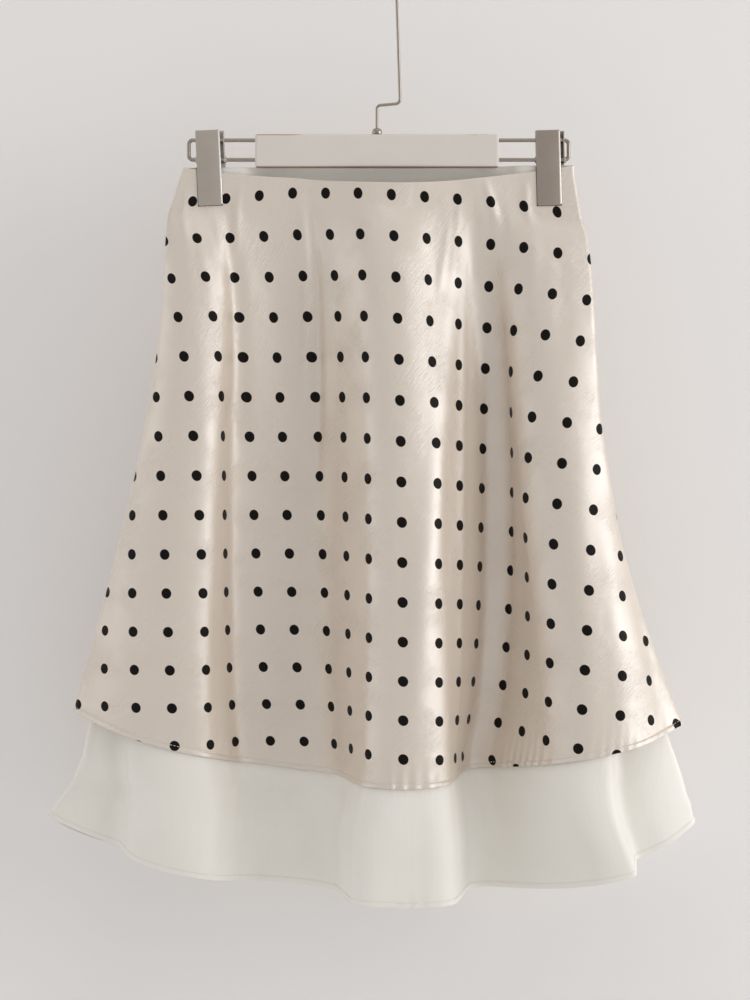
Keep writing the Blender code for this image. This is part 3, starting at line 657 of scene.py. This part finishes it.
def hemStitches(title, panels, cut, finish):
    plan, placed = stitchPlan, []
    for edge in panels:
        line = np.argmin(np.abs(edge["fromHem"].mean(axis=1) - cut["hemBand"]))
        path, into = edge["surface"][line], edge["inward"][line]
        way = np.concatenate([[0], np.cumsum(np.linalg.norm(np.diff(path, axis=0), axis=1))])
        for at in np.arange(plan["margin"], way[-1] - plan["margin"], plan["pitch"]):
            ahead, inside = alongLine(at + plan["ahead"], way, path), alongLine(at, way, into)
            here = alongLine(at, way, path) - inside * plan["proud"]
            turn = Vector(ahead - here - inside * plan["proud"]).to_track_quat("Z", "Y")
            place = Matrix.Translation(here) @ turn.to_matrix().to_4x4()
            placed.append(place @ Matrix.Diagonal((1, 1, plan["length"] / 2 / plan["radius"], 1)))
    # sewn a few at a time, as each ball takes longer in a large mesh
    mesh = bpy.data.meshes.new(title)
    bm = bmesh.new()
    for first in range(0, len(placed), plan["atOnce"]):
        run = bmesh.new()
        for place in placed[first:first + plan["atOnce"]]:
            bmesh.ops.create_uvsphere(run, u_segments=plan["around"], v_segments=plan["along"],
                                      radius=plan["radius"], matrix=place)
        run.to_mesh(mesh)
        run.free()
        bm.from_mesh(mesh)
    bm.to_mesh(mesh)
    bm.free()
    mesh.shade_smooth()
    mesh.materials.append(finish)
    return linkPiece(title, mesh)


threadLook = dict(
    thread=(0.84, 0.80, 0.74), threadDeep=(0.72, 0.67, 0.60), scale=900.0, roughness=0.5, sheen=0.2,
)


def makeThread():
    look = threadLook
    made, tree, shader = startMaterial("ivory thread")
    tone = addNoise(tree, objectPlace(tree), look["scale"])
    shade = mixColours(tree, tone, look["threadDeep"], look["thread"])
    fillSockets(tree, shader, {
        "Base Color": shade, "Roughness": look["roughness"], "Sheen Weight": look["sheen"]})
    return made


threadFinish = makeThread()
satinStitches = hemStitches("satinStitches", (satinFrontEdge, satinBackEdge), satinCut, threadFinish)
underStitches = hemStitches("underStitches", (underFrontEdge, underBackEdge), underCut, threadFinish)
print("hems stitched")


# The hanger's wires, round the same bends as the solids.
wireSizes = dict(
    rodRadius=0.0017, highRod=-0.1490, lowRod=-0.1661, barHalf=0.1065, inBar=0.0118,
    leftReach=-0.1663, rightReach=0.1693, loopCorner=0.0036,
    wireRadius=0.0013, hookRadius=0.0171, tipTurn=25.0, barTop=-0.1442, inTop=0.0072,
    lowBend=(0.0, -0.1186, 0.0036), highBend=(0.0203, -0.1168, 0.0042), bendSteps=14, hookSteps=60,
    bevelSteps=6, tipSteps=6, tipLeast=0.02,
)


def roundedLine(corners):
    line = []
    for k, (x, z, bend) in enumerate(corners):
        here = Vector((x, z))
        if bend == 0:
            line.append(here)
            continue
        back = (Vector(corners[k - 1][:2]) - here).normalized()
        on = (Vector(corners[k + 1][:2]) - here).normalized()
        half = back.angle(on) / 2
        middle = here + (back + on).normalized() * bend / sin(half)
        first = here + back * bend / tan(half) - middle
        swing = first.angle_signed(here + on * bend / tan(half) - middle)
        for n in range(wireSizes["bendSteps"] + 1):
            line.append(middle + Matrix.Rotation(-swing * n / wireSizes["bendSteps"], 2) @ first)
    return line


def wirePiece(title, node, line, radius, finish, roundTip=False):
    curve = bpy.data.curves.new(title, "CURVE")
    curve.dimensions = "3D"
    curve.bevel_depth = radius
    curve.bevel_resolution = wireSizes["bevelSteps"]
    curve.use_fill_caps = True
    widths = [1.0] * len(line)
    if roundTip:
        last, steps = line[-1], wireSizes["tipSteps"]
        onward = (last - line[-2]).normalized()
        for k in range(1, steps + 1):
            swing = k / steps * pi / 2
            line.append(last + onward * radius * sin(swing))
            widths.append(max(cos(swing), wireSizes["tipLeast"]))
    spline = curve.splines.new("POLY")
    spline.points.add(len(line) - 1)
    for point, (x, z), width in zip(spline.points, line, widths):
        point.co = (x, 0, z, 1)
        point.radius = width
    spline.use_smooth = True
    curve.materials.append(finish)
    linkPiece(title, curve, node)


wireLook = dict(
    wire=(0.36, 0.325, 0.28), wireDeep=(0.315, 0.28, 0.24), scale=420.0, rough=(0.2, 0.28),
    grain=0.15, grainDepth=0.0001,
)


def makeWire():
    look = wireLook
    made, tree, shader = startMaterial("bright steel wire")
    drawn = addNoise(tree, objectPlace(tree), look["scale"], 4.0)
    fillSockets(tree, shader, {
        "Base Color": mixColours(tree, drawn, look["wireDeep"], look["wire"]), "Metallic": 1.0,
        "Roughness": addRange(tree, drawn, (0.0, 1.0), look["rough"]),
        "Normal": addBump(tree, look["grain"], look["grainDepth"], drawn)})
    return made


nickelLook = dict(
    nickel=(0.50, 0.45, 0.40), nickelDeep=(0.345, 0.285, 0.245), brushSize=(1.0, 1.0, 0.04),
    brushScale=2600.0, cloudScale=70.0, cloudShare=0.4, rough=(0.36, 0.56), brush=0.2, brushDepth=0.00008,
    # the span over X in which the metal's colour turns darker towards the right clip
    anisotropy=0.4, rightDarkerSpan=(0.1, -0.1), leftBrighter=0.7,
)


def makeNickel():
    look = nickelLook
    made, tree, shader = startMaterial("brushed nickel plate")
    place = objectPlace(tree)
    stretched = addMapping(tree, place, Scale=look["brushSize"])
    brushed = addNoise(tree, stretched, look["brushScale"], 3.0)
    clouds = addNoise(tree, place, look["cloudScale"], 3.0)
    # the metal is coloured darker on the right clip than on the left
    parts = addNode(tree, "SeparateXYZ", {0: place})
    side = addRange(tree, parts.outputs["X"], look["rightDarkerSpan"], (0.0, look["leftBrighter"]))
    bright = addMath(tree, "MULTIPLY_ADD", clouds, look["cloudShare"], side)
    fillSockets(tree, shader, {
        "Base Color": mixColours(tree, bright, look["nickelDeep"], look["nickel"]),
        "Metallic": 1.0, "Anisotropic": look["anisotropy"],
        "Roughness": addRange(tree, brushed, (0.0, 1.0), look["rough"]),
        "Normal": addBump(tree, look["brush"], look["brushDepth"], brushed)})
    return made


polishLook = dict(polish=(0.86, 0.84, 0.81), scale=160.0, rough=(0.22, 0.42))


def makePolish():
    look = polishLook
    made, tree, shader = startMaterial("polished rolled edge")
    rubbed = addNoise(tree, objectPlace(tree), look["scale"], 3.0)
    fillSockets(tree, shader, {
        "Base Color": (*look["polish"], 1), "Metallic": 1.0,
        "Roughness": addRange(tree, rubbed, (0.0, 1.0), look["rough"])})
    return made


linerLook = dict(
    liner=(0.085, 0.06, 0.045), linerDeep=(0.03, 0.022, 0.018), scale=1500.0, roughness=0.75,
    grain=0.3, grainDepth=0.0001,
)


def makeLiner():
    look = linerLook
    made, tree, shader = startMaterial("dark clip liner")
    grain = addNoise(tree, objectPlace(tree), look["scale"], 3.0)
    fillSockets(tree, shader, {
        "Base Color": mixColours(tree, grain, look["linerDeep"], look["liner"]),
        "Roughness": look["roughness"],
        "Normal": addBump(tree, look["grain"], look["grainDepth"], grain)})
    return made


paintLook = dict(
    paint=(0.71, 0.665, 0.615), paintDeep=(0.67, 0.625, 0.57), cloudScale=28.0,
    wood=(0.42, 0.20, 0.09), chipSize=(22.0, 60.0, 160.0), topEdge=(-0.1462, -0.1443),
    leftEnd=(-0.108, -0.03), leftShare=(0.30, -0.02), chipSpan=(0.58, 0.66),
    # the colour and the heights of a painted shadow line along the bar's lower front edge
    gapShade=(0.34, 0.225, 0.17), gapShadeBand=(-0.1719, -0.1729),
    strokeSize=(12.0, 300.0, 300.0), stroke=0.25, strokeDepth=0.0003, roughness=0.48, specular=0.4,
)


def makePaint():
    look = paintLook
    made, tree, shader = startMaterial("worn white paint")
    place = objectPlace(tree)
    parts = addNode(tree, "SeparateXYZ", {0: place})
    clouds = addNoise(tree, place, look["cloudScale"], 4.0)
    paint = mixColours(tree, clouds, look["paintDeep"], look["paint"])

    # the paint has rubbed off along the top edge, most of all at the left
    chips = addNoise(tree, addMapping(tree, place, Scale=look["chipSize"]), 1.0, 5.0, Roughness=0.65)
    topEdge = addSoftRange(tree, parts.outputs["Z"], look["topEdge"])
    leftEnd = addSoftRange(tree, parts.outputs["X"], look["leftEnd"], look["leftShare"])
    likely = addMath(tree, "ADD", chips, leftEnd)
    bare = addSoftRange(tree, likely, look["chipSpan"])
    worn = addMath(tree, "MULTIPLY", bare, topEdge)
    withWood = mixColours(tree, worn, paint, look["wood"])

    # painted shadow: a thin brown line along the lower front edge, where the gap under the bar lies in shade
    gapShadeBand = addSoftRange(tree, parts.outputs["Z"], look["gapShadeBand"])
    withGapShade = mixColours(tree, gapShadeBand, withWood, look["gapShade"])
    brush = addMapping(tree, place, Scale=look["strokeSize"])
    strokes = addNoise(tree, brush, 1.0, 4.0)
    fillSockets(tree, shader, {
        "Base Color": withGapShade, "Roughness": look["roughness"], "Specular IOR Level": look["specular"],
        "Normal": addBump(tree, look["stroke"], look["strokeDepth"], strokes)})
    return made


wireFinish, nickelFinish, polishFinish = makeWire(), makeNickel(), makePolish()
linerFinish, paintFinish = makeLiner(), makePaint()

w = wireSizes
for title, node, side, reach in (("loopLeft", "rod_loop_left", -1, w["leftReach"]),
                                 ("loopRight", "rod_loop_right", 1, w["rightReach"])):
    inside, outside = side * (w["barHalf"] - w["inBar"]), reach - side * w["rodRadius"]
    wirePiece(title, node, roundedLine((
        (inside, w["highRod"], 0), (outside, w["highRod"], w["loopCorner"]),
        (outside, w["lowRod"], w["loopCorner"]), (inside, w["lowRod"], 0))), w["rodRadius"], wireFinish)

hookMiddle = w["wireRadius"] - w["hookRadius"]
hookLine = roundedLine(((0, w["barTop"] - w["inTop"], 0), w["lowBend"], w["highBend"],
                        (w["hookRadius"], hookMiddle, 0)))
for turn in np.linspace(0, pi + radians(w["tipTurn"]), w["hookSteps"] + 1)[1:]:
    hookLine.append(Vector((w["hookRadius"] * cos(turn), hookMiddle + w["hookRadius"] * sin(turn))))
wirePiece("hookWire", "hook", hookLine, w["wireRadius"], wireFinish, roundTip=True)
print("wires bent")


def finishPiece(bm, title, node, finishes, smoothAngle=30):
    mesh = meshFrom(bm, title)
    for finish in finishes:
        mesh.materials.append(finish)
    mesh.shade_smooth()
    mesh.set_sharp_from_angle(angle=radians(smoothAngle))
    linkPiece(title, mesh, node)


def spinRing(bm, section, centre, axis, steps):
    ring = [bm.verts.new(corner) for corner in section]
    outline = [bm.edges.new(pair) for pair in zip(ring, ring[1:] + ring[:1])]
    bmesh.ops.spin(bm, geom=ring + outline, cent=centre, axis=axis, angle=2 * pi, steps=steps, use_merge=True)


# The domed nut at the foot of the hook.
nutSizes = dict(
    radius=0.0043, height=0.0052, foot=-0.1439, bore=0.0016, chamfer=0.0003, shoulder=0.0022, domeSteps=8,
    steps=48,
)
n = nutSizes
profile = [(n["bore"], 0.0), (n["radius"] - n["chamfer"], 0.0), (n["radius"], n["chamfer"]),
           (n["radius"], n["shoulder"])]
for swing in np.linspace(0, pi / 2, n["domeSteps"] + 1)[1:]:
    profile.append((n["bore"] + (n["radius"] - n["bore"]) * cos(swing),
                    n["shoulder"] + (n["height"] - n["shoulder"]) * sin(swing)))
bm = bmesh.new()
spinRing(bm, [(x, 0, n["foot"] + z) for x, z in profile], (0, 0, 0), (0, 0, 1), n["steps"])
bmesh.ops.recalc_face_normals(bm, faces=bm.faces[:])
finishPiece(bm, "domedNut", "nut", (wireFinish,))

# The clips: a bent front plate with a polished rolled edge, a wider back plate with side flanges,
# dark liners and eyelets.
clipSizes = dict(
    height=0.0660, top=-0.1405, frontWidth=0.0210, backWidth=0.0250, sheet=0.0012, jaw=0.00305,
    edgeRound=0.00058, corner=0.0014, cornerSteps=4, roundSteps=3, sharpest=40, hair=0.00005, near=1e-5,
    rolledEdge=0.0015, rolledProud=0.0002, rolledBack=0.0001, rolledFoot=0.001, rolledHead=0.0006,
    rolledRound=0.0006, headInset=0.0004, headRound=0.0003,
    flangeHeight=0.0288, flangeLap=0.0002, flangeRound=0.0002,
    linerThick=0.00018, linerOut=0.0005, linerHeight=0.034, linerFoot=0.6, linerRight=0.5,
    eyeletRadius=0.0029, eyeletLength=0.0016, eyeletSunk=0.0004, eyeletSteps=28, rodRoom=0.00012,
    straight=0.55, slanted=0.85, slantIn=0.0004, lip=0.0003,
)
clipPlaces = (("clipLeft", "clip_left", -0.1464, 2.6), ("clipRight", "clip_right", 0.1510, 1.4))


def addPlate(bm, low, high, rounding, finishIndex=0, corner=0):
    others = set(bm.faces)
    verts = bmesh.ops.create_cube(bm, size=1)["verts"]
    bmesh.ops.scale(bm, vec=[h - l for l, h in zip(low, high)], verts=verts)
    bmesh.ops.translate(bm, vec=[(l + h) / 2 for l, h in zip(low, high)], verts=verts)
    for face in {face for vert in verts for face in vert.link_faces}:
        face.material_index = finishIndex
    s = clipSizes
    if corner:
        lower = [edge for edge in {edge for vert in verts for edge in vert.link_edges}
                 if abs((edge.verts[0].co - edge.verts[1].co).y) > s["near"]
                 and edge.verts[0].co.z < low[2] + s["near"]]
        bmesh.ops.bevel(bm, geom=lower, offset=corner, segments=s["cornerSteps"], affect="EDGES",
                        profile=0.5, material=-1)
    if rounding:
        around = list({edge for face in set(bm.faces) - others for edge in face.edges
                       if edge.calc_face_angle() > radians(s["sharpest"])})
        bmesh.ops.bevel(bm, geom=around, offset=rounding, segments=s["roundSteps"], affect="EDGES",
                        profile=0.5, material=-1)


def makeClip(title, node, middle, lean):
    s = clipSizes
    left, top = middle - s["backWidth"] / 2, s["top"]
    right, foldRight, bottom = left + s["backWidth"], left + s["frontWidth"], top - s["height"]
    skin, jaw, sheet = s["jaw"] + s["sheet"], s["jaw"], s["sheet"]
    bm = bmesh.new()
    addPlate(bm, (left, -skin, bottom), (foldRight, -jaw, top), s["edgeRound"], corner=s["corner"])
    proud, hair, lap = s["rolledProud"], s["hair"], s["flangeLap"]
    addPlate(bm, (foldRight - s["rolledEdge"] + proud, -skin - proud, bottom + s["rolledFoot"]),
             (foldRight + proud, -jaw - s["rolledBack"], top - s["rolledHead"]), s["rolledRound"], 2)
    addPlate(bm, (left, -skin + s["headInset"], top - sheet),
             (foldRight, skin - s["headInset"], top - hair), s["headRound"])
    addPlate(bm, (left, jaw, bottom), (right, skin, top), s["edgeRound"])
    for x in (left + hair, right - sheet):
        addPlate(bm, (x, -jaw - lap, top - s["flangeHeight"]), (x + sheet - hair, jaw + lap, top - sheet),
                 s["flangeRound"])
    for y in (-jaw, jaw - s["linerThick"]):
        addPlate(bm, (left - s["linerOut"], y, bottom - s["linerOut"] * s["linerFoot"]),
                 (foldRight + s["linerOut"] * s["linerRight"], y + s["linerThick"],
                  bottom + s["linerHeight"]), 0, 1)
    leaning = Matrix.Translation((middle, 0, top)) @ Matrix.Rotation(radians(-lean), 4, "Y")
    leaning = leaning @ Matrix.Translation((-middle, 0, -top))
    bmesh.ops.transform(bm, matrix=leaning, verts=bm.verts)
    rod, z = wireSizes["rodRadius"] + s["rodRoom"], wireSizes["lowRod"]
    outer, long = s["eyeletRadius"], s["eyeletLength"]
    section = ((0, rod), (0, outer), (long * s["straight"], outer),
               (long * s["slanted"], outer - s["slantIn"]), (long, rod + s["lip"]), (long, rod))
    for side, x in ((-1, left), (1, right)):
        start = (leaning @ Vector((x, 0, z))).x - side * s["eyeletSunk"]
        ring = [(start + side * along, 0, z + up) for along, up in section]
        spinRing(bm, ring, (start, 0, z), (1, 0, 0), s["eyeletSteps"])
    bmesh.ops.recalc_face_normals(bm, faces=bm.faces[:])
    finishPiece(bm, title, node, (nickelFinish, linerFinish, polishFinish))


for title, node, middle, lean in clipPlaces:
    makeClip(title, node, middle, lean)

# The painted bar keeps its own solid.
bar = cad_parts["hanger_bar"]
bar.data.materials.clear()
bar.data.materials.append(paintFinish)
print("hanger finished")

# The room: a pale floor, and a wall that shows from the front only.
room = dict(
    floor=-1.25, wall=0.135, wallTop=1.6, wallReach=2.2, floorReach=3.0, paint=(0.87, 0.857, 0.853),
    paintDeep=0.97, grainScale=3.0, roughness=0.9, specular=0.1, air=(0.96, 0.95, 0.94), airStrength=0.64,
)


def makeRoomPaint(oneSided):
    made, tree, shader = startMaterial("pale wall" if oneSided else "pale floor")
    grain = addNoise(tree, objectPlace(tree), room["grainScale"], 4.0)
    deep = [room["paintDeep"] * c for c in room["paint"]]
    fillSockets(tree, shader, {
        "Base Color": mixColours(tree, grain, deep, room["paint"]),
        "Roughness": room["roughness"], "Specular IOR Level": room["specular"]})
    if oneSided:
        behind = addNode(tree, "NewGeometry").outputs["Backfacing"]
        clear = addNode(tree, "BsdfTransparent").outputs[0]
        mixed = addNode(tree, "MixShader", {0: behind, 1: shader.outputs[0], 2: clear})
        tree.links.new(mixed.outputs[0], tree.nodes["Material Output"].inputs["Surface"])
    return made


def stagePlane(title, matrix, finish):
    bm = bmesh.new()
    bmesh.ops.create_grid(bm, x_segments=1, y_segments=1, size=1, matrix=matrix)
    mesh = meshFrom(bm, title)
    mesh.materials.append(finish)
    plane = linkObject(title, mesh)
    return plane


stagePlane("floor", Matrix.Translation((0, 0, room["floor"])) @ Matrix.Scale(room["floorReach"], 4),
           makeRoomPaint(False))
wallHalf = (room["wallTop"] - room["floor"]) / 2
wall = stagePlane("wall", Matrix.Translation((0, room["wall"], room["floor"] + wallHalf))
                  @ Matrix.Rotation(radians(90), 4, "X")
                  @ Matrix.Diagonal((room["wallReach"], wallHalf, 1, 1)),
                  makeRoomPaint(True))
wall.visible_shadow = False

world = bpy.data.worlds.new("studio")
scene.world = world
world.use_nodes = True
fillSockets(world.node_tree, world.node_tree.nodes["Background"], {
    "Color": (*room["air"], 1), "Strength": room["airStrength"]})

# Soft lights: place, point aimed at, width, height, watts, tint.
lamps = dict(
    window=((3.85, -1.15, 0.1), (0, 0, -0.5), 3.8, 2.4, 78, (1.0, 0.99, 0.985)),
    left=((-3.6, -0.7, 0.2), (0, 0, -0.5), 2.2, 2.4, 14, (1.0, 0.98, 0.955)),
    above=((0.2, -0.9, 1.3), (0, 0, -0.4), 1.4, 0.8, 3, (1.0, 1.0, 1.0)),
    behindRight=((2.4, 3.2, 0.3), (0, 0, -0.5), 1.5, 2.2, 40, (1.0, 0.985, 0.965)),
    behindLeft=((-2.2, 1.9, 0.2), (0, 0, -0.5), 1.4, 1.4, 8, (1.0, 1.0, 1.0)),
)
for title, (at, aim, wide, high, watts, tint) in lamps.items():
    lamp = bpy.data.lights.new(title, "AREA")
    lamp.shape = "RECTANGLE"
    lamp.size, lamp.size_y = wide, high
    lamp.energy = watts
    lamp.color = tint
    shown = linkObject(title, lamp)
    shown.location = at
    shown.rotation_euler = (Vector(aim) - Vector(at)).to_track_quat("-Z", "Y").to_euler()
    shown.visible_camera = False

# The camera stands where the photo was taken, level and square on.
view = dict(at=(-0.00175, -2.0, -0.46375), lens=82.285)
camera = linkObject("camera", bpy.data.cameras.new("camera"))
camera.location = view["at"]
camera.rotation_euler = (radians(90), 0, 0)
camera.data.lens = view["lens"]
scene.camera = camera
scene.view_settings.view_transform = "Standard"
print("room, lights and camera set")
